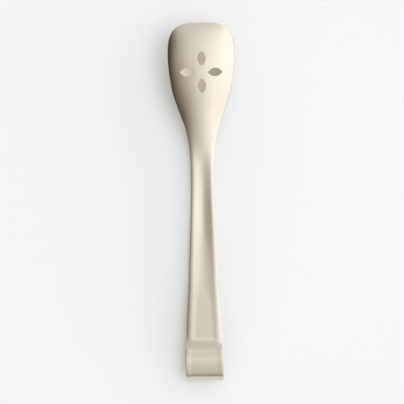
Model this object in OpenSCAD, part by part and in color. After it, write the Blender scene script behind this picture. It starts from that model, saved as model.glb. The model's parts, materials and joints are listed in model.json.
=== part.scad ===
// Serving tongs: two stamped arms held apart by a U-shaped spring bow.
// X runs across the arms, +Y towards the heads, +Z up. The lower arm lies on the table at z = 0.
// Each arm is drawn in its own frame: pivot line on the X axis, arm along +Y, back of the arm towards +Z.

/* [Overall] */
// Pivot line to the tip of a head
arm_length = 238.6; // [226:0.2:256]
// Pivot line to the tail end of an arm
arm_tail = 14; // [12.8:0.2:16]
// Angle between the arms when nobody holds them
rest_angle = 10; // [7:0.5:12]

/* [Head outline] */
// Widest width of a head
head_w = 45; // [40:0.5:50]
// Tip to the widest place
head_nose = 22; // [18:0.5:26]
// Squareness of the tip outline
nose_power = 3; // [2.6:0.1:4]
// Tip to the flank
flank_d = 43.5; // [40:0.5:48]
// Width at the flank
flank_w = 40.4; // [36:0.2:44]
// Tip to the shoulder of the head
shoulder_d = 59.5; // [55:0.5:64]
// Width at the shoulder of the head
shoulder_w = 30.5; // [26:0.5:34]
// Tip to the throat
throat_d = 71; // [68:0.5:76]
// Width at the throat
throat_w = 22.2; // [19:0.2:25]
// Tip to the collar
collar_d = 84; // [80:0.5:88]
// Width at the collar
collar_w = 17.2; // [16:0.2:18.8]
// Tip to the neck
neck_d = 100; // [92:1:110]
// Width at the neck, the narrowest place
neck_w = 15.5; // [13:0.25:16]

/* [Head form] */
// Sheet thickness of a head
head_t = 1.2; // [1:0.1:1.6]
// Depth of a head at its edge, as a share of its half width
crown_ratio = 0.305; // [0.25:0.005:0.38]
// How far the back of a head stands out over the handle floor
head_rise = 2.4; // [1.8:0.1:3]
// Tip to where the back of a head starts to arch inwards
arch_d = 52; // [46:1:58]
// How far the arch takes the tip inwards
arch_drop = 6.4; // [5:0.2:8]
// How far the tip curls in further
nose_drop = 5; // [4:0.25:6]

/* [Slots] */
// Tip to the middle of the slot cross
slot_d = 32.6; // [29:0.2:37]
// Middle of the cross to the middle of a slot
slot_reach = 9.1; // [8:0.1:11]
// Slot length
slot_l = 9.4; // [7:0.1:11]
// Slot width
slot_w = 5.4; // [4:0.1:6.5]

/* [Handle] */
// Pivot line to the grip
grip_y = 63.6; // [58:0.2:76]
// Width at the grip
grip_w = 20.4; // [18:0.2:23]
// Width of the arm at its tail end
tail_w = 25.2; // [23:0.2:28]
// Sheet thickness of the handle
handle_t = 0.8; // [0.7:0.05:1.1]
// Steepest slope of the channel wall
wall_slope = 0.38; // [0.25:0.01:0.42]
// Slope of the channel wall near the tail
tail_slope = 0.16; // [0.1:0.01:0.2]
// Roundness of the channel bottom
groove_r = 2; // [1.5:0.1:3]
// Share of the half width that the rounded rim takes
rim_share = 0.35; // [0.3:0.01:0.42]
// Slope of the rim at the edge of the sheet
rim_slope = 0.62; // [0.5:0.01:0.7]
// Height of the cross rib at the tail end of the channel
rib_h = 0.3; // [0.2:0.05:0.4]
// Inward bend of the handle at its middle
grip_bend = 0.5; // [0:0.1:1]

/* [Spring bow] */
// Outer radius of the round end of the bow
bow_r = 13.4; // [12.4:0.1:15]
// Thickness of the spring strip
bow_t = 1.4; // [1:0.1:1.8]
// Width of the bow
bow_w = 26.8; // [25:0.2:30]
// How much the bow narrows towards the arms, as an angle
pinch = 6; // [3:0.5:8]
// Angle from the side of the bow at which its round end passes over into a flatter hip
hip = 15; // [10:0.5:18]
// Radius of the hip
hip_r = 28; // [22:0.5:34]
// Radius of the bend into the legs
waist_r = 20; // [14:1:28]
// Width of the tongue under an arm
tongue_w = 15; // [12:0.5:18]
// Pivot line to the end of the tongue
tongue_end = 43.6; // [40:0.2:48]

/* [Studs] */
// Shank diameter of a stud
stud_d = 4; // [3:0.1:5]
// Head diameter of a stud
stud_head_d = 7; // [6:0.1:8]
// Head height of a stud
stud_head_h = 1.2; // [0.8:0.1:1.6]
// Pivot line to the first stud
stud_y = 25; // [23:0.5:27]
// Distance between the two studs
stud_pitch = 12; // [9:0.5:14]

/* [Fit] */
// Gap between a tongue and its arm, and round a shank
seat_gap = 0.05; // [0.02:0.01:0.1]

/* [Hidden] */
$fn = 72;

// Places along an arm, from the pivot line
wide_y = arm_length - head_nose;
flank_y = arm_length - flank_d;
shoulder_y = arm_length - shoulder_d;
throat_y = arm_length - throat_d;
collar_y = arm_length - collar_d;
neck_y = arm_length - neck_d;
slot_y = arm_length - slot_d;
arch_y = arm_length - arch_d;
bevel_l = 6.2;
ramp_l = 2.8;
rim_l = 11;
feather_t = 0.35;
tuck_l = 3;
seat_end = tongue_end + 3;
rib_y = arm_tail + bevel_l;
tray_y = rib_y + ramp_l;
steep_y = (grip_y + neck_y) / 2;
channel_end_y = neck_y + (throat_y - neck_y) * 0.7;
nose_fade = 14;
tip_share = 0.3;
tray_share = 0.7;
neck_rim = 1.15;

// The legs of the strip are a little thinner than the bow and root in its ends
leg_step = 0.05;
leg_t = bow_t - 2 * leg_step;
root_l = 0.6;
bend_steps = 6;
hip_steps = 10;

// Places of the strip and of the handle floor, from the pivot line
function outward(a) = [sin(a), cos(a)];
hip_along = [cos(hip), sin(hip)];
hip_mid = (bow_r - leg_step - hip_r) * outward(-hip);
bend = hip_mid + hip_r * outward(pinch);
leg_y = bend[0] + waist_r * sin(pinch);
leg_z = bend[1] - waist_r * (1 - cos(pinch));
floor_z = leg_z + seat_gap + handle_t;
press_y = arm_tail + tuck_l + leg_z * tan(rest_angle / 2) + 0.4;

// Tables of [place, value] that the smooth curves run through
outline_table = [
    [arm_tail, tail_w / 2],
    [grip_y, grip_w / 2],
    [neck_y, neck_w / 2],
    [collar_y, collar_w / 2],
    [throat_y, throat_w / 2],
    [shoulder_y, shoulder_w / 2],
    [flank_y, flank_w / 2],
    [wide_y, head_w / 2]
];
path_table = [
    [arm_tail, floor_z],
    [seat_end, floor_z],
    [(seat_end + neck_y) / 2, floor_z - grip_bend],
    [neck_y, floor_z],
    [shoulder_y, floor_z + head_rise * 0.75],
    [slot_y, floor_z + head_rise],
    [arm_length, floor_z + head_rise]
];
wall_table = [
    [arm_tail, 0],
    [rib_y, 0],
    [tray_y, tail_slope],
    [tongue_end, tail_slope * 1.15],
    [grip_y, (tail_slope + wall_slope) / 2.2],
    [steep_y, wall_slope * 0.95],
    [steep_y + (neck_y - steep_y) * 0.35, wall_slope],
    [neck_y, wall_slope * 0.66],
    [channel_end_y, 0],
    [arm_length, 0]
];
flat_table = [
    [arm_tail, tray_share],
    [tongue_end, tray_share * 0.85],
    [grip_y, 0],
    [arm_length, 0]
];
groove_table = [
    [arm_tail, groove_r],
    [tongue_end, groove_r],
    [grip_y, 5 * groove_r],
    [steep_y, groove_r],
    [arm_length, groove_r]
];
crown_table = [
    [arm_tail, 0],
    [neck_y, 0],
    [throat_y, crown_ratio * 1.02],
    [shoulder_y, crown_ratio * 1.26],
    [wide_y, crown_ratio],
    [arm_length, crown_ratio]
];
sheet_table = [
    [arm_tail, handle_t],
    [neck_y, handle_t],
    [shoulder_y, head_t],
    [arm_length, head_t]
];

// Smooth curve through a table, never overshooting its values
function secant(t, i) = (t[i + 1][1] - t[i][1]) / (t[i + 1][0] - t[i][0]);
function mean_slope(a, b) = a * b <= 0 ? 0 : 2 * a * b / (a + b);
function slope(t, i) = i == 0 || i == len(t) - 1 ? 0 : mean_slope(secant(t, i - 1), secant(t, i));
function span(t, y) = max([for (i = [0 : len(t) - 2]) if (i == 0 || y >= t[i][0]) i]);
function hermite(a, b, sa, sb, h, k) = a * (1 + 2 * k) * (1 - k) ^ 2 + sa * h * k * (1 - k) ^ 2
    + b * k ^ 2 * (3 - 2 * k) - sb * h * k ^ 2 * (1 - k);
function on_span(t, y, i, h) =
    hermite(t[i][1], t[i + 1][1], slope(t, i), slope(t, i + 1), h, (y - t[i][0]) / h);
function curve(t, y) = let (i = span(t, y)) on_span(t, y, i, t[i + 1][0] - t[i][0]);
function unit(v) = min(1, max(0, v));
function ease(v) = unit(v) ^ 2 * (3 - 2 * unit(v));

// Form of an arm over its plan
function nose(y) = max(0, (y - wide_y) / head_nose);
function half_w(y) = y <= wide_y ? curve(outline_table, y)
    : head_w / 2 * max(0, 1 - nose(y) ^ nose_power) ^ (1 / nose_power);
function arch(y) = arch_drop * unit((y - arch_y) / arch_d) ^ 2 + nose_drop * nose(y) ^ 3.5;
function path(y) = curve(path_table, y) - arch(y);
function crown(y) = curve(crown_table, y) * half_w(y) * (1 - (1 - unit((arm_length - y) / nose_fade)) ^ 2);
function flatter(y) = 0.25 * ease((y - slot_y) / (slot_d * 0.6));
function edge_roll(y) = 0.05 + 0.1 * ease((y - shoulder_y) / (wide_y - shoulder_y));
function camber(u, flat, roll) = (1 - flat - roll) * u ^ 2 + flat * u ^ 4 + roll * u ^ 8;

// Channel between two rounded rims: flat bottom, groove wall up to the rim, then an arc over to the edge
function rim_wide(y) = 1 + (neck_rim - 1) * ease((y - steep_y) / (neck_y - steep_y));
function rim_in(y) = (1 - rim_share * rim_wide(y)) * half_w(y);
function groove(x, r, w, s) = s * (norm([x, r]) - r) * norm([w, r]) / w;
function edge_slope(y) = rim_slope * (1 - ease((y - neck_y) / (throat_y - neck_y)))
    * ease((y - arm_tail) / rim_l);
function over_rim(t, s, w, e) = s * t - (s + e) * t ^ 2 / (2 * w);
function wall(x, w, f, r, s) = groove(max(0, min(x, w) - f), r, w - f, s);
function channel(x, y) =
    let (w = rim_in(y), f = w * curve(flat_table, y), r = curve(groove_table, y), s = curve(wall_table, y))
    wall(x, w, f, r, s) + over_rim(max(0, x - w), s, half_w(y) - w, edge_slope(y));

// Tail end: a cross rib closes the channel, and a bevel runs down to the spring strip
function bevel_fall(k) = ((1 - k) ^ 1.4 + 1 - ease(k)) / 2;
function bevel(y) = (handle_t + rib_h - feather_t) * bevel_fall(unit((y - arm_tail) / bevel_l));
function tail_rise(y) = rib_h * (1 - ease((y - rib_y) / ramp_l)) - bevel(y);

// Both faces of the sheet: flat inside where the full strip lies, pressed in parallel further on
function pressed(y) = ease((y - press_y) / ramp_l);
function sheet_mid(u, y) = path(y) - crown(y) * camber(u, flatter(y), edge_roll(y));
function back_z(u, y) = sheet_mid(u, y) + tail_rise(y) + channel(u * half_w(y), y);
function inner_z(u, y) = sheet_mid(u, y) - curve(sheet_table, y) + pressed(y) * channel(u * half_w(y), y);

// Stations along an arm and across it
nose_end = wide_y + head_nose * (1 - tip_share ^ nose_power) ^ (1 / nose_power);
handle_steps = 18;
head_steps = 24;
nose_steps = 11;
stations = concat(
    [for (i = [0 : 4]) arm_tail + bevel_l * i / 5],
    [for (i = [0 : 3]) rib_y + ramp_l * i / 4],
    [for (i = [0 : handle_steps - 1]) tray_y + (neck_y - tray_y) * i / handle_steps],
    [for (i = [0 : head_steps - 1]) neck_y + (wide_y - neck_y) * i / head_steps],
    [for (i = [0 : nose_steps]) wide_y + (nose_end - wide_y) * sin(90 * i / nose_steps)]
);
half_across = [0, 0.17, 0.34, 0.5, 0.62, 0.73, 0.83, 0.92, 1];
across = concat([for (i = [len(half_across) - 1 : -1 : 1]) -half_across[i]], half_across);
row_len = len(across);
ring_len = 2 * row_len;
function ring(y) = concat(
    [for (u = across) [u * half_w(y), y, back_z(abs(u), y)]],
    [for (u = across) [-u * half_w(y), y, inner_z(abs(u), y)]]
);
arm_points = [for (y = stations) each ring(y)];
function quad(i, j) = [i * ring_len + j, i * ring_len + (j + 1) % ring_len];
arm_sides = [for (i = [0 : len(stations) - 2]) for (j = [0 : ring_len - 1])
    let (a = quad(i, j), b = quad(i + 1, j)) each [[a[0], a[1], b[1]], [a[0], b[1], b[0]]]];
function cap(start, flip) = [for (j = [0 : row_len - 2])
    let (a = start + j, b = start + ring_len - 1 - j)
        each (flip ? [[b, a + 1, a], [b, b - 1, a + 1]] : [[a, a + 1, b], [a + 1, b - 1, b]])];
tail_cap = cap(0, true);
tip_cap = cap((len(stations) - 1) * ring_len, false);

// Resting pose: the tongs lie on the back of the lower head, and on its handle or the bow
function ridge(y) = [y, max([for (u = half_across) back_z(u, y)])];
head_ridge = [for (y = stations) if (y > throat_y) ridge(y)];
handle_ridge = [for (y = stations) if (y > rib_y && y < neck_y) ridge(y)];
function tilt_on_bow(p) = atan(p[1] / p[0]) - asin(bow_r / norm(p));
function tilt_on(q) = max([for (p = head_ridge) atan((p[1] - q[1]) / (p[0] - q[0]))]);
low_tilt = min(max([for (p = head_ridge) tilt_on_bow(p)]), min([for (q = handle_ridge) tilt_on(q)]));
high_tilt = low_tilt + rest_angle;
lowest = max([for (p = arm_points) p[2] * cos(low_tilt) - p[1] * sin(low_tilt)]);
tip_reach = max([for (p = arm_points) p[1] * cos(low_tilt) + p[2] * sin(low_tilt)]);
pivot_y = (bow_r - tip_reach) / 2;
pivot_z = max(bow_r, lowest);

module at_pivot() translate([0, pivot_y, pivot_z]) children();
module upper() at_pivot() rotate([high_tilt, 0, 0]) children();
module lower() at_pivot() rotate([low_tilt, 0, 0]) mirror([0, 0, 1]) children();

// One arm: sheet form lofted over the stations
module arm_sheet() polyhedron(arm_points, concat(arm_sides, tail_cap, tip_cap), convexity = 6);

// One petal slot: two arcs meeting in two points, cut straight through the sheet
petal_r = (slot_l ^ 2 + slot_w ^ 2) / (4 * slot_w);
petal_h = 3 * nose_drop;
module petal() intersection() {
    translate([petal_r - slot_w / 2, 0, 0]) cylinder(h = petal_h, r = petal_r, center = true);
    translate([slot_w / 2 - petal_r, 0, 0]) cylinder(h = petal_h, r = petal_r, center = true);
}
module petal_cross() for (turn = [0 : 90 : 270])
    translate([0, slot_y, floor_z]) rotate([0, 0, turn]) translate([0, slot_reach, 0]) petal();

// Studs of one arm, in the arm's frame
module studs() for (y = [stud_y, stud_y + stud_pitch])
    translate([0, y, leg_z - leg_t - seat_gap]) {
        cylinder(h = leg_t + 2 * seat_gap, d = stud_d);
        translate([0, 0, -stud_head_h / 2]) cylinder(h = stud_head_h / 2, d = stud_head_d);
        translate([0, 0, -stud_head_h])
            cylinder(h = stud_head_h / 2, d1 = stud_head_d * 0.7, d2 = stud_head_d);
    }

// Side profile of the spring strip, drawn with Y to the right and Z up
module ring_2d(r_out, r_in) difference() {
    circle(r = r_out);
    circle(r = r_in);
}
module fan_2d(r, from, to) polygon(concat([[0, 0]],
    [for (k = [0 : 4]) let (a = from + (to - from) * k / 4) 1.5 * r * [cos(a), sin(a)]]));
module bow_2d() intersection() {
    ring_2d(bow_r, bow_r - bow_t);
    fan_2d(bow_r, 90 + hip + high_tilt, 270 - hip + low_tilt);
}
function leg_face(depth) = concat(
    [for (s = [-root_l, 0]) (bow_r - leg_step - depth) * outward(-hip) + s * hip_along],
    [for (k = [1 : hip_steps]) hip_mid + (hip_r - depth) * outward(-hip + (hip + pinch) * k / hip_steps)],
    [for (k = [1 : bend_steps])
        [leg_y, leg_z + waist_r] - (waist_r + depth) * outward(pinch * (1 - k / bend_steps))],
    [[tongue_end, leg_z - depth]]
);
function backwards(list) = [for (i = [len(list) - 1 : -1 : 0]) list[i]];
module upper_leg_2d() polygon(concat(leg_face(leg_t), backwards(leg_face(0))));
module lower_leg_2d() polygon([for (p = concat(leg_face(0), backwards(leg_face(leg_t)))) [p[0], -p[1]]]);
module strip_2d() {
    bow_2d();
    rotate(high_tilt) upper_leg_2d();
    rotate(low_tilt) lower_leg_2d();
}

// Plan of the spring strip: full width round the bow, flush with the arm at its end, narrower under the arm
half_plan = [
    [bow_w / 2, -2 * bow_r],
    [bow_w / 2, bend[0]],
    [tail_w / 2, arm_tail],
    [tail_w / 2, arm_tail + tuck_l],
    [tongue_w / 2, arm_tail + tuck_l],
    [tongue_w / 2, 2 * tongue_end]
];
module plan_2d() polygon(concat(half_plan,
    [for (p = backwards(half_plan)) [-p[0], p[1]]]));
module strip() intersection() {
    translate([-bow_w, 0, 0]) rotate([90, 0, 90]) linear_extrude(2 * bow_w) strip_2d();
    rotate([(low_tilt + high_tilt) / 2, 0, 0]) translate([0, 0, -tongue_end])
        linear_extrude(2 * tongue_end) plan_2d();
}
module tongue_bores() for (y = [stud_y, stud_y + stud_pitch])
    translate([0, y, leg_z - 2 * bow_t]) cylinder(h = 3 * bow_t, d = stud_d + 2 * seat_gap);

module slotted_arm() color("Wheat") upper() difference() {
    arm_sheet();
    petal_cross();
}
module plain_arm() color("Tan") lower() arm_sheet();
module spring_bow() color("BurlyWood") difference() {
    at_pivot() strip();
    upper() tongue_bores();
    lower() tongue_bores();
}
module slotted_arm_studs() color("Silver") upper() studs();
module plain_arm_studs() color("Silver") lower() studs();

slotted_arm();
plain_arm();
spring_bow();
slotted_arm_studs();
plain_arm_studs();
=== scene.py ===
import json
import math

import bpy
import numpy as np
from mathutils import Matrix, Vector
from mathutils.geometry import delaunay_2d_cdt


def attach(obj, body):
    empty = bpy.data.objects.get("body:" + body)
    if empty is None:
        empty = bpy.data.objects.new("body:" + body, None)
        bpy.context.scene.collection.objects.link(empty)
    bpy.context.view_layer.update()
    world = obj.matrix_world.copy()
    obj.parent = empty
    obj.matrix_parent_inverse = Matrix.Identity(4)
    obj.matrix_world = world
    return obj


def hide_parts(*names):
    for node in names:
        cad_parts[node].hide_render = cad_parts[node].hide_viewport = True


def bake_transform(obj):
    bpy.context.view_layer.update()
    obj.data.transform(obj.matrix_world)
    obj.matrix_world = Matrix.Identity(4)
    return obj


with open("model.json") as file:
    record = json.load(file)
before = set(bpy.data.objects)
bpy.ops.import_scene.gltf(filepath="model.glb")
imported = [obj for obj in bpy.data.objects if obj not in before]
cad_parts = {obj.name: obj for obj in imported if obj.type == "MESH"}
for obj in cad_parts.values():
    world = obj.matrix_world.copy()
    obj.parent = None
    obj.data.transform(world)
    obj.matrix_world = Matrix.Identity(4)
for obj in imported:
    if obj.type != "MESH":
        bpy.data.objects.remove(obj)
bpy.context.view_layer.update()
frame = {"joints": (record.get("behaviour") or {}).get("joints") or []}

MM = 0.001

# Sizes of the part in millimetres, the same as in its source
arm_length, arm_tail, rest_angle = 238.6, 14.0, 10.0
head_w, head_nose, nose_power = 45.0, 22.0, 3.0
flank_d, flank_w, shoulder_d, shoulder_w = 43.5, 40.4, 59.5, 30.5
throat_d, throat_w, collar_d, collar_w, neck_d, neck_w = 71.0, 22.2, 84.0, 17.2, 100.0, 15.5
head_t, crown_ratio, head_rise = 1.2, 0.305, 2.4
arch_d, arch_drop, nose_drop = 52.0, 6.4, 5.0
slot_d, slot_reach, slot_l, slot_w = 32.6, 9.1, 9.4, 5.4
grip_y, grip_w, tail_w, handle_t = 63.6, 20.4, 25.2, 0.8
wall_slope, tail_slope, groove_r = 0.38, 0.16, 2.0
rim_share, rim_slope, rib_h, grip_bend = 0.35, 0.62, 0.3, 0.5
bow_r, bow_t, bow_w, pinch = 13.4, 1.4, 26.8, math.radians(6.0)
hip, hip_r, waist_r = math.radians(15.0), 28.0, 20.0
tongue_w, tongue_end = 15.0, 43.6
stud_d, stud_head_d, stud_head_h, stud_y, stud_pitch = 4.0, 7.0, 1.2, 25.0, 12.0
seat_gap, leg_step, seat_past, press_past = 0.05, 0.05, 3.0, 0.4
bevel_l, ramp_l, rim_l, feather_t, tuck_l = 6.2, 2.8, 11.0, 0.35, 3.0
nose_fade, tip_share, tray_share, neck_rim = 14.0, 0.3, 0.7, 1.15
# Powers of the nose's bend and the tail's bevel, and the shares of the head's flatter middle and rolled edge
nose_bend, bevel_bend = 3.5, 1.4
flat_most, flat_span, roll_least, roll_gain = 0.25, 0.6, 0.05, 0.1
# The drawn back lies this much under the back of the source, so that its smooth curve stays in the box
skin = 0.03

# Places along an arm, from the pivot line
wide_y = arm_length - head_nose
flank_y = arm_length - flank_d
shoulder_y = arm_length - shoulder_d
throat_y = arm_length - throat_d
collar_y = arm_length - collar_d
neck_y = arm_length - neck_d
slot_y = arm_length - slot_d
arch_y = arm_length - arch_d
seat_end = tongue_end + seat_past
rib_y = arm_tail + bevel_l
tray_y = rib_y + ramp_l
steep_y = (grip_y + neck_y) / 2
channel_end_y = neck_y + (throat_y - neck_y) * 0.7
nose_end = wide_y + head_nose * (1 - tip_share**nose_power) ** (1 / nose_power)

# Places of the spring strip, from the pivot line
leg_t = bow_t - 2 * leg_step
strip_r = bow_r - leg_step
hip_mid_y, hip_mid_z = (hip_r - strip_r) * math.sin(hip), (strip_r - hip_r) * math.cos(hip)
bend_y = hip_mid_y + hip_r * math.sin(pinch)
bend_z = hip_mid_z + hip_r * math.cos(pinch)
leg_y = bend_y + waist_r * math.sin(pinch)
leg_z = bend_z - waist_r * (1 - math.cos(pinch))
floor_z = leg_z + seat_gap + handle_t
press_y = arm_tail + tuck_l + leg_z * math.tan(math.radians(rest_angle / 2)) + press_past

# Tables of (place, value) that the smooth curves run through
outline_table = [
    (arm_tail, tail_w / 2), (grip_y, grip_w / 2), (neck_y, neck_w / 2), (collar_y, collar_w / 2),
    (throat_y, throat_w / 2), (shoulder_y, shoulder_w / 2), (flank_y, flank_w / 2), (wide_y, head_w / 2),
]
path_table = [
    (arm_tail, floor_z), (seat_end, floor_z), ((seat_end + neck_y) / 2, floor_z - grip_bend),
    (neck_y, floor_z), (shoulder_y, floor_z + head_rise * 0.75), (slot_y, floor_z + head_rise),
    (arm_length, floor_z + head_rise),
]
wall_table = [
    (arm_tail, 0), (rib_y, 0), (tray_y, tail_slope), (tongue_end, tail_slope * 1.15),
    (grip_y, (tail_slope + wall_slope) / 2.2), (steep_y, wall_slope * 0.95),
    (steep_y + (neck_y - steep_y) * 0.35, wall_slope), (neck_y, wall_slope * 0.66),
    (channel_end_y, 0), (arm_length, 0),
]
flat_table = [(arm_tail, tray_share), (tongue_end, tray_share * 0.85), (grip_y, 0), (arm_length, 0)]
groove_table = [
    (arm_tail, groove_r), (tongue_end, groove_r), (grip_y, 5 * groove_r), (steep_y, groove_r),
    (arm_length, groove_r),
]
crown_table = [
    (arm_tail, 0), (neck_y, 0), (throat_y, crown_ratio * 1.02), (shoulder_y, crown_ratio * 1.26),
    (wide_y, crown_ratio), (arm_length, crown_ratio),
]
sheet_table = [(arm_tail, handle_t), (neck_y, handle_t), (shoulder_y, head_t), (arm_length, head_t)]


def curve(table, y):
    """Smooth curve through a table of (place, value), never overshooting its values."""
    place, value = np.array(table, float).T
    secant = np.diff(value) / np.diff(place)
    slope = np.zeros(len(place))
    for i in range(1, len(place) - 1):
        a, b = secant[i - 1], secant[i]
        slope[i] = 0 if a * b <= 0 else 2 * a * b / (a + b)
    i = np.clip(np.searchsorted(place, y, side="right") - 1, 0, len(place) - 2)
    h = place[i + 1] - place[i]
    k = (y - place[i]) / h
    rise = value[i] * (1 + 2 * k) * (1 - k) ** 2 + value[i + 1] * k**2 * (3 - 2 * k)
    return rise + h * k * (1 - k) * (slope[i] * (1 - k) - slope[i + 1] * k)


def ease(v):
    """Smooth step from 0 to 1."""
    v = np.clip(v, 0, 1)
    return v * v * (3 - 2 * v)


# Form of an arm over its plan
def nose(y):
    return np.maximum(0, (y - wide_y) / head_nose)


def half_w(y):
    tip = head_w / 2 * np.maximum(0, 1 - nose(y) ** nose_power) ** (1 / nose_power)
    return np.where(y <= wide_y, curve(outline_table, np.minimum(y, wide_y)), tip)


def path(y):
    arch = arch_drop * np.clip((y - arch_y) / arch_d, 0, 1) ** 2 + nose_drop * nose(y) ** nose_bend
    return curve(path_table, y) - arch


def crown(y):
    fade = 1 - (1 - np.clip((arm_length - y) / nose_fade, 0, 1)) ** 2
    return curve(crown_table, y) * half_w(y) * fade


def camber(u, y):
    flatter = flat_most * ease((y - slot_y) / (slot_d * flat_span))
    roll = roll_least + roll_gain * ease((y - shoulder_y) / (wide_y - shoulder_y))
    return (1 - roll - flatter) * u**2 + flatter * u**4 + roll * u**8


def channel(x, y):
    """Height over the channel bottom: flat, a groove wall up to the rim, then an arc over to the edge."""
    w = half_w(y)
    rim = rim_share * (1 + (neck_rim - 1) * ease((y - steep_y) / (neck_y - steep_y)))
    rim_in = (1 - rim) * w
    flat = rim_in * curve(flat_table, y)
    wall = curve(wall_table, y)
    r = curve(groove_table, y)
    fade = ease((y - arm_tail) / rim_l) * (1 - ease((y - neck_y) / (throat_y - neck_y)))
    edge = rim_slope * fade
    up = np.maximum(0, np.minimum(x, rim_in) - flat)
    groove = wall * (np.hypot(up, r) - r) * np.hypot(rim_in - flat, r) / (rim_in - flat)
    over = np.maximum(0, x - rim_in)
    return groove + wall * over - (wall + edge) * over**2 / (2 * (w - rim_in))


def tail_rise(y):
    k = np.clip((y - arm_tail) / bevel_l, 0, 1)
    bevel = (handle_t + rib_h - feather_t) * ((1 - k) ** bevel_bend + 1 - ease(k)) / 2
    return rib_h * (1 - ease((y - rib_y) / ramp_l)) - bevel


def sheet_mid(x, y):
    return path(y) - crown(y) * camber(x / half_w(y), y)


def back_z(x, y):
    x = np.abs(x)
    return sheet_mid(x, y) + tail_rise(y) + channel(x, y) - skin


def inner_z(x, y):
    x = np.abs(x)
    pressed = ease((y - press_y) / ramp_l)
    return sheet_mid(x, y) - curve(sheet_table, y) + pressed * channel(x, y)


# Resting pose: the pivot line and the tilt of each arm
pivot = Vector(frame["joints"][0]["pos_m"]) / MM
ridge_y = np.linspace(rib_y, wide_y, 1000)
ridge_z = np.max([back_z(u * half_w(ridge_y), ridge_y) for u in np.linspace(0, 1, 40)], 0) + skin
over_head = ridge_y > throat_y
head_y, head_z = ridge_y[over_head], ridge_z[over_head]
tilt_on_bow = np.max(np.arctan2(head_z, head_y) - np.arcsin(bow_r / np.hypot(head_y, head_z)))
on_handle = [
    np.max(np.arctan2(head_z - z, head_y - y))
    for y, z in zip(ridge_y, ridge_z) if y < neck_y
]
low_tilt = float(min(tilt_on_bow, min(on_handle)))
high_tilt = low_tilt + math.radians(rest_angle)


def place(points, tilt, side):
    """Points of an arm's own frame in the row frame, in metres; side is 1 for the upper arm, else -1."""
    p = np.asarray(points, float).copy()
    p[:, 2] *= side
    c, s = math.cos(tilt), math.sin(tilt)
    y, z = p[:, 1] * c - p[:, 2] * s, p[:, 1] * s + p[:, 2] * c
    return np.stack([p[:, 0] + pivot.x, y + pivot.y, z + pivot.z], 1) * MM


def new_object(name, points, faces, wear, inside):
    """Smooth mesh object, with how worn and how far inside each point is for the materials."""
    mesh = bpy.data.meshes.new(name)
    mesh.from_pydata([tuple(p) for p in points], [], [tuple(int(i) for i in f) for f in faces])
    mesh.validate()
    mesh.polygons.foreach_set("use_smooth", [True] * len(mesh.polygons))
    for layer_name, values in (("wear", wear), ("inside", inside)):
        layer = mesh.attributes.new(layer_name, "FLOAT", "POINT")
        layer.data.foreach_set("value", np.asarray(values, np.float32))
    mesh.update()
    obj = bpy.data.objects.new(name, mesh)
    bpy.context.scene.collection.objects.link(obj)
    return obj


# Plan of an arm: rows along it, inset from the outline by the room that the rolled edge takes
edge_inset = 0.16
half_across = np.array([
    0, 0.08, 0.16, 0.24, 0.32, 0.4, 0.47, 0.54, 0.6, 0.66, 0.71, 0.76, 0.8, 0.84, 0.87, 0.9,
    0.925, 0.95, 0.97, 0.985, 1.0,
])
across = np.concatenate([-half_across[:0:-1], half_across])
first_y, last_y = arm_tail + edge_inset, nose_end - edge_inset
rows = np.concatenate([
    np.linspace(first_y, rib_y, 12)[:-1],
    np.linspace(rib_y, tray_y, 11)[:-1],
    np.linspace(tray_y, neck_y, 58)[:-1],
    np.linspace(neck_y, wide_y, 66)[:-1],
    wide_y + (last_y - wide_y) * np.sin(np.linspace(0, math.pi / 2, 27)),
])
row_w = half_w(rows) - edge_inset

# Petal slots: pointed ovals in a cross
petal_r = (slot_l**2 + slot_w**2) / (4 * slot_w)


def petal_loop(turn, grow, count=22):
    """Closed loop round one slot, grown outwards, counter-clockwise."""
    r = petal_r + grow
    shift = petal_r - slot_w / 2
    reach = math.acos(shift / r)
    a = np.linspace(-reach, reach, count + 1)[:-1]
    right = np.stack([r * np.cos(a) - shift, r * np.sin(a)], 1)
    loop = np.concatenate([right, -right]) + (0, slot_reach)
    c, s = math.cos(turn), math.sin(turn)
    return loop @ np.array([[c, s], [-s, c]]) + (0, slot_y)


def within(points, loop):
    """Which points lie inside a closed loop."""
    x, y = points[:, 0], points[:, 1]
    hit = np.zeros(len(points), bool)
    for a, b in zip(loop, np.roll(loop, -1, 0)):
        if a[1] == b[1]:
            continue
        crosses = (a[1] > y) != (b[1] > y)
        hit ^= crosses & (x < (b[0] - a[0]) * (y - a[1]) / (b[1] - a[1]) + a[0])
    return hit


def loop_out(loop):
    """Outward direction at each point of a counter-clockwise loop."""
    along = np.roll(loop, -1, 0) - np.roll(loop, 1, 0)
    along /= np.linalg.norm(along, axis=1)[:, None]
    return np.stack([along[:, 1], -along[:, 0]], 1)


# Rolled slot edge, the loops of points round a slot, and the strip round it that the grid leaves to them
slot_round, slot_roll = 0.12, 0.12
slot_loops, slot_clear = (0.55, 0.9), 1.5
slot_turns = [math.radians(t) for t in (0, 90, 180, 270)]


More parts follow.
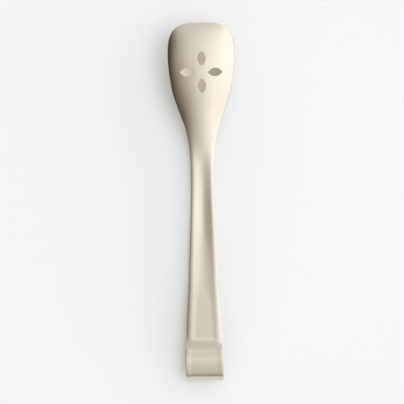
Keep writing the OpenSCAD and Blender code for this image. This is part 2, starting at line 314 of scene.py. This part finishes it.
def plan_mesh(slots):
    """Triangles over the plan of an arm, its outer loop and the loops of its slots."""
    grid = np.stack([np.outer(row_w, across), np.repeat(rows[:, None], len(across), 1)], 2)
    tail, tip = grid[0], grid[-1]
    rim_loop = np.concatenate([tail, grid[1:, -1], tip[-2::-1], grid[-2:0:-1, 0]])
    loops = [rim_loop]
    free = [grid[1:-1, 1:-1].reshape(-1, 2)]
    if slots:
        for turn in slot_turns:
            loops.append(petal_loop(turn, slot_round))
            keep = ~within(free[0], petal_loop(turn, slot_clear))
            free[0] = free[0][keep]
            free += [petal_loop(turn, grow) for grow in slot_loops]
    points = np.concatenate(loops + free)
    edges, start = [], 0
    for loop in loops:
        n = len(loop)
        edges += [(start + i, start + (i + 1) % n) for i in range(n)]
        start += n
    done = delaunay_2d_cdt([Vector(p) for p in points], edges, [], 0, 1e-6)
    plan = np.array([tuple(p) for p in done[0]])
    faces = np.array([f for f in done[2]])
    middle = plan[faces].mean(1)
    keep = within(middle, rim_loop)
    for loop in loops[1:]:
        keep &= ~within(middle, loop)
    assert len(plan) == len(points), "the plan keeps its points"
    starts = np.cumsum([0] + [len(loop) for loop in loops])
    return plan, faces[keep], [np.arange(a, b) for a, b in zip(starts[:-1], starts[1:])]


def edge_strip(plan, loop, out, reach, steps):
    """Rolled edge from the back of the sheet to its inside along a loop, as rings of points."""
    flat = plan[loop]
    step = 0.02
    bezier_reach, thin_share = 0.75, 2.2
    behind = flat - step * out
    top = back_z(flat[:, 0], flat[:, 1])
    low = inner_z(flat[:, 0], flat[:, 1])
    top_slope = (top - back_z(behind[:, 0], behind[:, 1])) / step
    low_slope = (low - inner_z(behind[:, 0], behind[:, 1])) / step
    pull = reach / bezier_reach * np.minimum(1, thin_share * (top - low) / handle_t)
    rings = []
    for t in np.linspace(0, 1, steps + 1)[1:-1]:
        a, b, c, d = (1 - t) ** 3, 3 * t * (1 - t) ** 2, 3 * t**2 * (1 - t), t**3
        forward = b * pull + c * pull
        height = (a + b) * top + b * pull * top_slope + (c + d) * low + c * pull * low_slope
        rings.append(np.column_stack([flat + forward[:, None] * out, height]))
    return rings


def build_arm(name, slots, tilt, side):
    """Sheet arm: back, inner face and the rolled edges that join them."""
    wear_fade, edge_wear, edge_steps = 0.9, 0.8, 8
    plan, faces, loops = plan_mesh(slots)
    x, y = plan.T
    count = len(plan)
    points = [np.column_stack([plan, back_z(x, y)]), np.column_stack([plan, inner_z(x, y)])]
    edge_gap = half_w(y) - np.abs(x)
    edge_gap = np.minimum(edge_gap, np.minimum(y - arm_tail, arm_length - y))
    wear = [np.exp(-edge_gap / wear_fade)] * 2
    inside_face = [np.zeros(count), np.ones(count)]
    made = [faces, faces[:, ::-1] + count]
    total = 2 * count
    for k, loop in enumerate(loops):
        flat = plan[loop]
        out = loop_out(flat) if k == 0 else -loop_out(flat)
        rings = edge_strip(plan, loop, out, edge_inset if k == 0 else slot_roll, edge_steps)
        n = len(loop)
        ids = [loop] + [total + n * i + np.arange(n) for i in range(len(rings))] + [loop + count]
        points += rings
        wear.append(np.full(n * len(rings), edge_wear))
        inside_face.append(np.repeat(np.linspace(0, 1, len(rings)), n))
        total += n * len(rings)
        for a, b in zip(ids[:-1], ids[1:]):
            quads = np.stack([a, b, np.roll(b, -1), np.roll(a, -1)], 1)
            made.append(quads if k == 0 else quads[:, ::-1])
    all_faces = [f for group in made for f in (group if side > 0 else group[:, ::-1])]
    world = place(np.concatenate(points), tilt, side)
    return new_object(name, world, all_faces, np.concatenate(wear), np.concatenate(inside_face))


# Spring strip: its side profile, as (y, z, outward direction) about the pivot line
def strip_stations():
    upper = []
    for y in np.linspace(tongue_end, leg_y, 36)[:-1]:
        upper.append((y, leg_z, 0.0))
    for a in np.linspace(0, pinch, 9)[:-1]:
        upper.append((leg_y - waist_r * math.sin(a), leg_z + waist_r * (1 - math.cos(a)), a))
    for a in np.linspace(pinch, -hip, 25)[:-1]:
        upper.append((hip_mid_y + hip_r * math.sin(a), hip_mid_z + hip_r * math.cos(a), a))
    stations = []

    def turned(y, z, lean, tilt, side):
        """Station of a leg, with the place along its arm that sets its width."""
        c, s = math.cos(tilt), math.sin(tilt)
        ny, nz = math.sin(lean), side * math.cos(lean)
        z = side * z
        return (y * c - z * s, y * s + z * c, ny * c - nz * s, ny * s + nz * c, y)

    stations += [turned(*leg, high_tilt, 1) for leg in upper]
    start = math.pi / 2 + hip + high_tilt
    end = 3 * math.pi / 2 - hip + low_tilt
    for a in np.linspace(start, end, 53):
        stations.append((strip_r * math.cos(a), strip_r * math.sin(a), math.cos(a), math.sin(a), 0.0))
    stations += [turned(*leg, low_tilt, -1) for leg in reversed(upper)]
    return np.array(stations)


def strip_half_w(along):
    """Half width of the strip by the place along the arm."""
    tuck_start, corner = 1.0, 3.0
    flare = np.interp(along, [bend_y, arm_tail], [bow_w / 2, tail_w / 2])
    neck = ease((along - arm_tail - tuck_start) / (tuck_l - tuck_start))
    wide = flare + (tongue_w / 2 - flare) * neck
    last = np.clip((along - tongue_end + corner) / corner, 0, 1)
    return wide - corner * (1 - np.sqrt(np.clip(1 - last**2, 0, 1)))


def build_bow(name):
    """Strip lofted along its stations, with a shallow hollow between two rims and rounded edges."""
    stations = strip_stations()
    hollow, rim_w, wall_w, fade_l = 0.2, 2.7, 1.0, 2.0
    edge_in, edge_push, edge_drop, edge_r, wear_fade = 0.3, 0.4, 0.25, 0.9, 0.7
    half = np.array([
        0, 0.12, 0.24, 0.34, 0.42, 0.48, 0.54, 0.6, 0.66, 0.72, 0.78, 0.85, 0.91, 0.96, 1.0,
    ])
    us = np.concatenate([-half[:0:-1], half])
    points, wear, inside_face = [], [], []
    for y, z, ny, nz, along in stations:
        w = float(strip_half_w(np.array(along)))
        w_in = w - edge_in
        fade = 1 - float(ease(np.array((along - arm_tail) / fade_l)))
        e = w - np.abs(us) * w_in
        round_off = edge_drop * (1 - np.clip(e / edge_r, 0, 1)) ** 2
        outer = -hollow * fade * ease((e - rim_w) / wall_w) - round_off
        inner = -leg_t + round_off
        ring = [(u * w_in, d) for u, d in zip(us, outer)]
        top, low = outer[-1], inner[-1]
        nosing = []
        for t in np.linspace(0, 1, 7)[1:-1]:
            push = edge_push * 3 * t * (1 - t)
            nosing.append((push, top + (low - top) * (t * t * (3 - 2 * t))))
        ring += [(w_in + p, d) for p, d in nosing]
        ring += [(u * w_in, d) for u, d in zip(us[::-1], inner[::-1])]
        ring += [(-w_in - p, d) for p, d in nosing[::-1]]
        for x, d in ring:
            points.append((x, y + ny * d, z + nz * d))
        gap = np.array([w - abs(x) for x, d in ring])
        wear.append(np.exp(-gap / wear_fade))
        inside_face += [float(d < -leg_t / 2) for x, d in ring]
    size = len(ring)
    faces = []
    for i in range(len(stations) - 1):
        for j in range(size):
            a, b = i * size + j, i * size + (j + 1) % size
            faces.append((a, a + size, b + size, b))
    last = (len(stations) - 1) * size
    faces += [tuple(range(size)), tuple(last + j for j in reversed(range(size)))]
    world = (np.array(points) + np.array(pivot)) * MM
    return new_object(name, world, faces, np.concatenate(wear), inside_face)


# Studs: domed heads on short shanks
def build_studs(name, tilt, side):
    seat = leg_z - leg_t - seat_gap
    r = stud_head_d / 2
    shank_h = leg_t + 2 * seat_gap
    dome_r, dome_base, crown_start = 0.97, 0.32, 0.12
    side_low, side_high, foot_r = 0.26, 0.1, 0.975
    rim_wear, plain_wear, turns = 0.7, 0.15, 40
    profile = [(0.0, -stud_head_h)]
    profile += [
        (r * math.sin(a) * dome_r, -stud_head_h * (dome_base + (1 - dome_base) * math.cos(a)))
        for a in np.linspace(crown_start, math.pi / 2, 12)
    ]
    profile += [(r, -side_low * stud_head_h), (r, -side_high * stud_head_h), (r * foot_r, 0.0)]
    profile += [(stud_d / 2, 0.0), (stud_d / 2, shank_h), (0.0, shank_h)]
    points, faces, wear = [], [], []
    for y in (stud_y, stud_y + stud_pitch):
        rings = []
        for k, (radius, z) in enumerate(profile):
            ends = k in (0, len(profile) - 1)
            ring = []
            for i in range(1 if ends else turns):
                a = 2 * math.pi * i / turns
                ring.append(len(points))
                points.append((radius * math.cos(a), y + radius * math.sin(a), seat + z))
                wear.append(rim_wear if 0.8 * r < radius and z < 0 else plain_wear)
            rings.append(ring)
        for a, b in zip(rings[:-1], rings[1:]):
            for i in range(turns):
                j = (i + 1) % turns
                if len(a) == 1:
                    faces.append((a[0], b[j], b[i]))
                elif len(b) == 1:
                    faces.append((a[i], a[j], b[0]))
                else:
                    faces.append((a[i], a[j], b[j], b[i]))
    if side < 0:
        faces = [f[::-1] for f in faces]
    return new_object(name, place(points, tilt, side), faces, wear, np.ones(len(points)))


slotted_arm = build_arm("slotted_arm_sheet", True, high_tilt, 1)
plain_arm = build_arm("plain_arm_sheet", False, low_tilt, -1)
spring_bow = build_bow("spring_bow_strip")
slotted_studs = build_studs("slotted_arm_stud_pair", high_tilt, 1)
plain_studs = build_studs("plain_arm_stud_pair", low_tilt, -1)


# Materials
def satin_metal(name, colour, roughness, grain):
    """Satin metal: fine grain along the arms, soft colour drift, brighter and smoother worn edges."""
    mat = bpy.data.materials.new(name)
    mat.use_nodes = True
    nodes, links = mat.node_tree.nodes, mat.node_tree.links
    shader = nodes["Principled BSDF"]
    shader.inputs["Metallic"].default_value = 1.0
    coords = nodes.new("ShaderNodeTexCoord")

    def noise(scale, detail, stretch=(1, 1, 1)):
        mapping = nodes.new("ShaderNodeMapping")
        mapping.inputs["Scale"].default_value = stretch
        links.new(coords.outputs["Object"], mapping.inputs["Vector"])
        tex = nodes.new("ShaderNodeTexNoise")
        tex.inputs["Scale"].default_value = scale
        tex.inputs["Detail"].default_value = detail
        links.new(mapping.outputs["Vector"], tex.inputs["Vector"])
        return tex.outputs["Fac"]

    def spread(source, low, high):
        node = nodes.new("ShaderNodeMapRange")
        node.inputs["From Min"].default_value = 0.3
        node.inputs["From Max"].default_value = 0.7
        node.inputs["To Min"].default_value = low
        node.inputs["To Max"].default_value = high
        links.new(source, node.inputs["Value"])
        return node.outputs["Result"]

    def mix(kind, factor, a, b):
        node = nodes.new("ShaderNodeMix")
        node.data_type = kind
        first = 6 if kind == "RGBA" else 2
        for value, slot in ((factor, 0), (a, first), (b, first + 1)):
            if isinstance(value, bpy.types.NodeSocket):
                links.new(value, node.inputs[slot])
            else:
                node.inputs[slot].default_value = value
        return node.outputs[2 if kind == "RGBA" else 0]

    # Scales per metre: soft colour drift, fine streaks along the arm, fine speckle, patches of wear
    drift = noise(55, 3)
    streaks = noise(900, 4, (1, 0.03, 1))
    speckle = noise(4200, 2)
    patches = noise(260, 3)
    wear = nodes.new("ShaderNodeAttribute")
    wear.attribute_name = "wear"
    worn = nodes.new("ShaderNodeMath")
    worn.operation = "MULTIPLY"
    links.new(wear.outputs["Fac"], worn.inputs[0])
    links.new(spread(patches, 0.25, 0.95), worn.inputs[1])

    dark = tuple(c * 0.965 for c in colour) + (1,)
    light = tuple(min(1, c * 1.03) for c in colour) + (1,)
    bright = tuple(min(1, c * 1.09 + 0.01) for c in colour) + (1,)
    body = mix("RGBA", drift, dark, light)
    body = mix("RGBA", spread(streaks, 0.0, 0.16), body, light)
    links.new(mix("RGBA", worn.outputs[0], body, bright), shader.inputs["Base Color"])

    # Streaks and drift vary the roughness, worn edges are smoother and the inner faces rougher
    streak_rough, drift_rough, worn_rough, inner_rough = 0.03, 0.05, -0.09, 0.26
    rough = mix("FLOAT", spread(streaks, 0, 1), roughness - streak_rough, roughness + streak_rough)
    rough = mix("FLOAT", spread(drift, 0, 0.5), rough, roughness + drift_rough)
    rough = mix("FLOAT", worn.outputs[0], rough, roughness + worn_rough)
    inner = nodes.new("ShaderNodeAttribute")
    inner.attribute_name = "inside"
    rough = mix("FLOAT", inner.outputs["Fac"], rough, roughness + inner_rough)
    links.new(rough, shader.inputs["Roughness"])

    speckle_share = 0.25
    height = mix("FLOAT", speckle_share, streaks, speckle)
    bump = nodes.new("ShaderNodeBump")
    bump.inputs["Strength"].default_value = grain
    bump.inputs["Distance"].default_value = 0.04 * MM
    links.new(height, bump.inputs["Height"])
    links.new(bump.outputs["Normal"], shader.inputs["Normal"])
    return mat


champagne = (0.70, 0.648, 0.562)
sheet_metal = satin_metal("champagne_sheet_metal", champagne, 0.22, 0.05)
spring_metal = satin_metal("champagne_spring_metal", champagne, 0.22, 0.05)
stud_metal = satin_metal("champagne_stud_metal", (0.66, 0.61, 0.53), 0.3, 0.2)
for obj, mat, slot, node in (
    (slotted_arm, sheet_metal, "champagne_sheet", "slotted_arm"),
    (plain_arm, sheet_metal, "champagne_sheet", "plain_arm"),
    (spring_bow, spring_metal, "champagne_spring", "spring_bow"),
    (slotted_studs, stud_metal, "champagne_stud", "slotted_arm_studs"),
    (plain_studs, stud_metal, "champagne_stud", "plain_arm_studs"),
):
    obj.data.materials.append(mat)
    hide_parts(node)
for obj, body in (
    (slotted_arm, "upper"), (slotted_studs, "upper"), (plain_arm, "lower"), (plain_studs, "lower"),
):
    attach(obj, body)
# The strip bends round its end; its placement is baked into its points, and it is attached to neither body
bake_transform(spring_bow)


# Studio: pale floor, soft light that falls off from the right to the left
def plain_material(name, colour, roughness):
    mat = bpy.data.materials.new(name)
    mat.use_nodes = True
    shader = mat.node_tree.nodes["Principled BSDF"]
    shader.inputs["Base Color"].default_value = (*colour, 1)
    shader.inputs["Roughness"].default_value = roughness
    shader.inputs["Specular IOR Level"].default_value = 0.0
    return mat


def floor_material(name, colour, lift):
    """Matt paper that looks a little paler to the camera and in mirrors, with no more light on the object."""
    mat = plain_material(name, colour, 0.9)
    nodes, links = mat.node_tree.nodes, mat.node_tree.links
    rays = nodes.new("ShaderNodeLightPath")
    seen = rays.outputs["Is Camera Ray"]
    for other in ("Is Glossy Ray", "Is Transmission Ray"):
        both = nodes.new("ShaderNodeMath")
        both.operation = "MAXIMUM"
        links.new(seen, both.inputs[0])
        links.new(rays.outputs[other], both.inputs[1])
        seen = both.outputs[0]
    strength = nodes.new("ShaderNodeMath")
    strength.operation = "MULTIPLY"
    strength.inputs[1].default_value = lift
    links.new(seen, strength.inputs[0])
    glow = nodes.new("ShaderNodeEmission")
    links.new(strength.outputs[0], glow.inputs["Strength"])
    both = nodes.new("ShaderNodeAddShader")
    links.new(nodes["Principled BSDF"].outputs[0], both.inputs[0])
    links.new(glow.outputs[0], both.inputs[1])
    links.new(both.outputs[0], nodes["Material Output"].inputs["Surface"])
    return mat


def card(name, corners, mat, seen):
    """Flat sheet of the studio, seen by the camera or not."""
    mesh = bpy.data.meshes.new(name)
    mesh.from_pydata(corners, [], [(0, 1, 2, 3)])
    mesh.materials.append(mat)
    obj = bpy.data.objects.new(name, mesh)
    bpy.context.scene.collection.objects.link(obj)
    obj.visible_camera = seen
    return obj


floor_mat = floor_material("floor_paper", (0.82, 0.834, 0.857), 0.06)
span = 30.0
floor_corners = [(-span, -span, 0), (span, -span, 0), (span, span, 0), (-span, span, 0)]
card("floor", floor_corners, floor_mat, True)

# Dark card on the left, which only the metal mirrors: it draws the dark line along the left edges
flag_x, flag_l, flag_h = -0.15, 0.4, 0.06
flag_corners = [(flag_x, -flag_l, 0), (flag_x, flag_l, 0), (flag_x, flag_l, flag_h), (flag_x, -flag_l, flag_h)]
flag = card("flag_left", flag_corners, plain_material("flag_cloth", (0.03, 0.024, 0.018), 0.9), False)
flag.visible_diffuse = flag.visible_shadow = flag.visible_transmission = False

# Soft lamp above, a little to the right: it draws the shadow on the floor, and the metal does not mirror it
lamp = bpy.data.lights.new("top_lamp", "AREA")
lamp.shape, lamp.size, lamp.energy = "DISK", 0.3, 1.35
lamp_obj = bpy.data.objects.new("top_lamp", lamp)
lamp_obj.location = (0.15, 0.0, 1.0)
lamp_obj.rotation_euler = (-lamp_obj.location).to_track_quat("-Z", "Y").to_euler()
lamp_obj.visible_glossy = False
bpy.context.scene.collection.objects.link(lamp_obj)

# Light of the room by direction: (place from -1 to 1, colour) from left to right, and from front to back
room_level = 1.5
left_to_right = [
    (-1.0, (0.02, 0.015, 0.01)), (-0.87, (0.165, 0.142, 0.113)), (-0.64, (0.385, 0.36, 0.32)),
    (-0.34, (0.58, 0.563, 0.536)), (0.0, (0.722, 0.717, 0.706)), (0.34, (0.9, 0.894, 0.883)),
    (0.64, (1.04, 1.032, 1.018)), (0.87, (1.05, 1.044, 1.033)), (1.0, (1.02, 1.01, 0.99)),
]
front_to_back = [
    (-1.0, (0.08, 0.07, 0.055)), (-0.965, (0.56, 0.54, 0.505)), (-0.9, (0.645, 0.625, 0.59)),
    (-0.6, (0.77, 0.76, 0.75)), (-0.3, (0.91, 0.907, 0.903)), (0.0, (1, 1, 1)),
    (0.6, (0.93, 0.93, 0.93)), (1.0, (0.78, 0.78, 0.78)),
]
world = bpy.data.worlds.new("studio")
bpy.context.scene.world = world
world.use_nodes = True
nodes, links = world.node_tree.nodes, world.node_tree.links
split = nodes.new("ShaderNodeSeparateXYZ")
links.new(nodes.new("ShaderNodeTexCoord").outputs["Generated"], split.inputs[0])


def room_ramp(axis, stops):
    """Colour of the room along one axis of the direction."""
    scale = nodes.new("ShaderNodeMapRange")
    scale.inputs["From Min"].default_value = -1.0
    links.new(split.outputs[axis], scale.inputs["Value"])
    ramp = nodes.new("ShaderNodeValToRGB")
    for k, (place_at, colour) in enumerate(stops):
        if k in (0, len(stops) - 1):
            element = ramp.color_ramp.elements[0 if k == 0 else -1]
            element.position = (place_at + 1) / 2
        else:
            element = ramp.color_ramp.elements.new((place_at + 1) / 2)
        element.color = (*colour, 1)
    links.new(scale.outputs["Result"], ramp.inputs["Fac"])
    return ramp.outputs["Color"]


room = nodes.new("ShaderNodeMix")
room.data_type = "RGBA"
room.blend_type = "MULTIPLY"
room.inputs[0].default_value = 1.0
links.new(room_ramp("X", left_to_right), room.inputs[6])
links.new(room_ramp("Y", front_to_back), room.inputs[7])
links.new(room.outputs[2], nodes["Background"].inputs["Color"])
nodes["Background"].inputs["Strength"].default_value = room_level

# Camera: straight above, as in the photograph
image_px, focal_px, camera_height, camera_turn = 404, 1177.6, 0.85, 0.66
camera = bpy.data.cameras.new("camera")
camera.sensor_width = 36.0
camera.lens = focal_px / image_px * camera.sensor_width
camera.clip_start, camera.clip_end = 0.01, 100
camera_obj = bpy.data.objects.new("camera", camera)
camera_obj.location = (-0.5 * MM, 0.95 * MM, camera_height)
camera_obj.rotation_euler = (0, 0, -math.radians(camera_turn))
bpy.context.scene.collection.objects.link(camera_obj)
bpy.context.scene.camera = camera_obj
bpy.context.scene.view_settings.view_transform = "Standard"
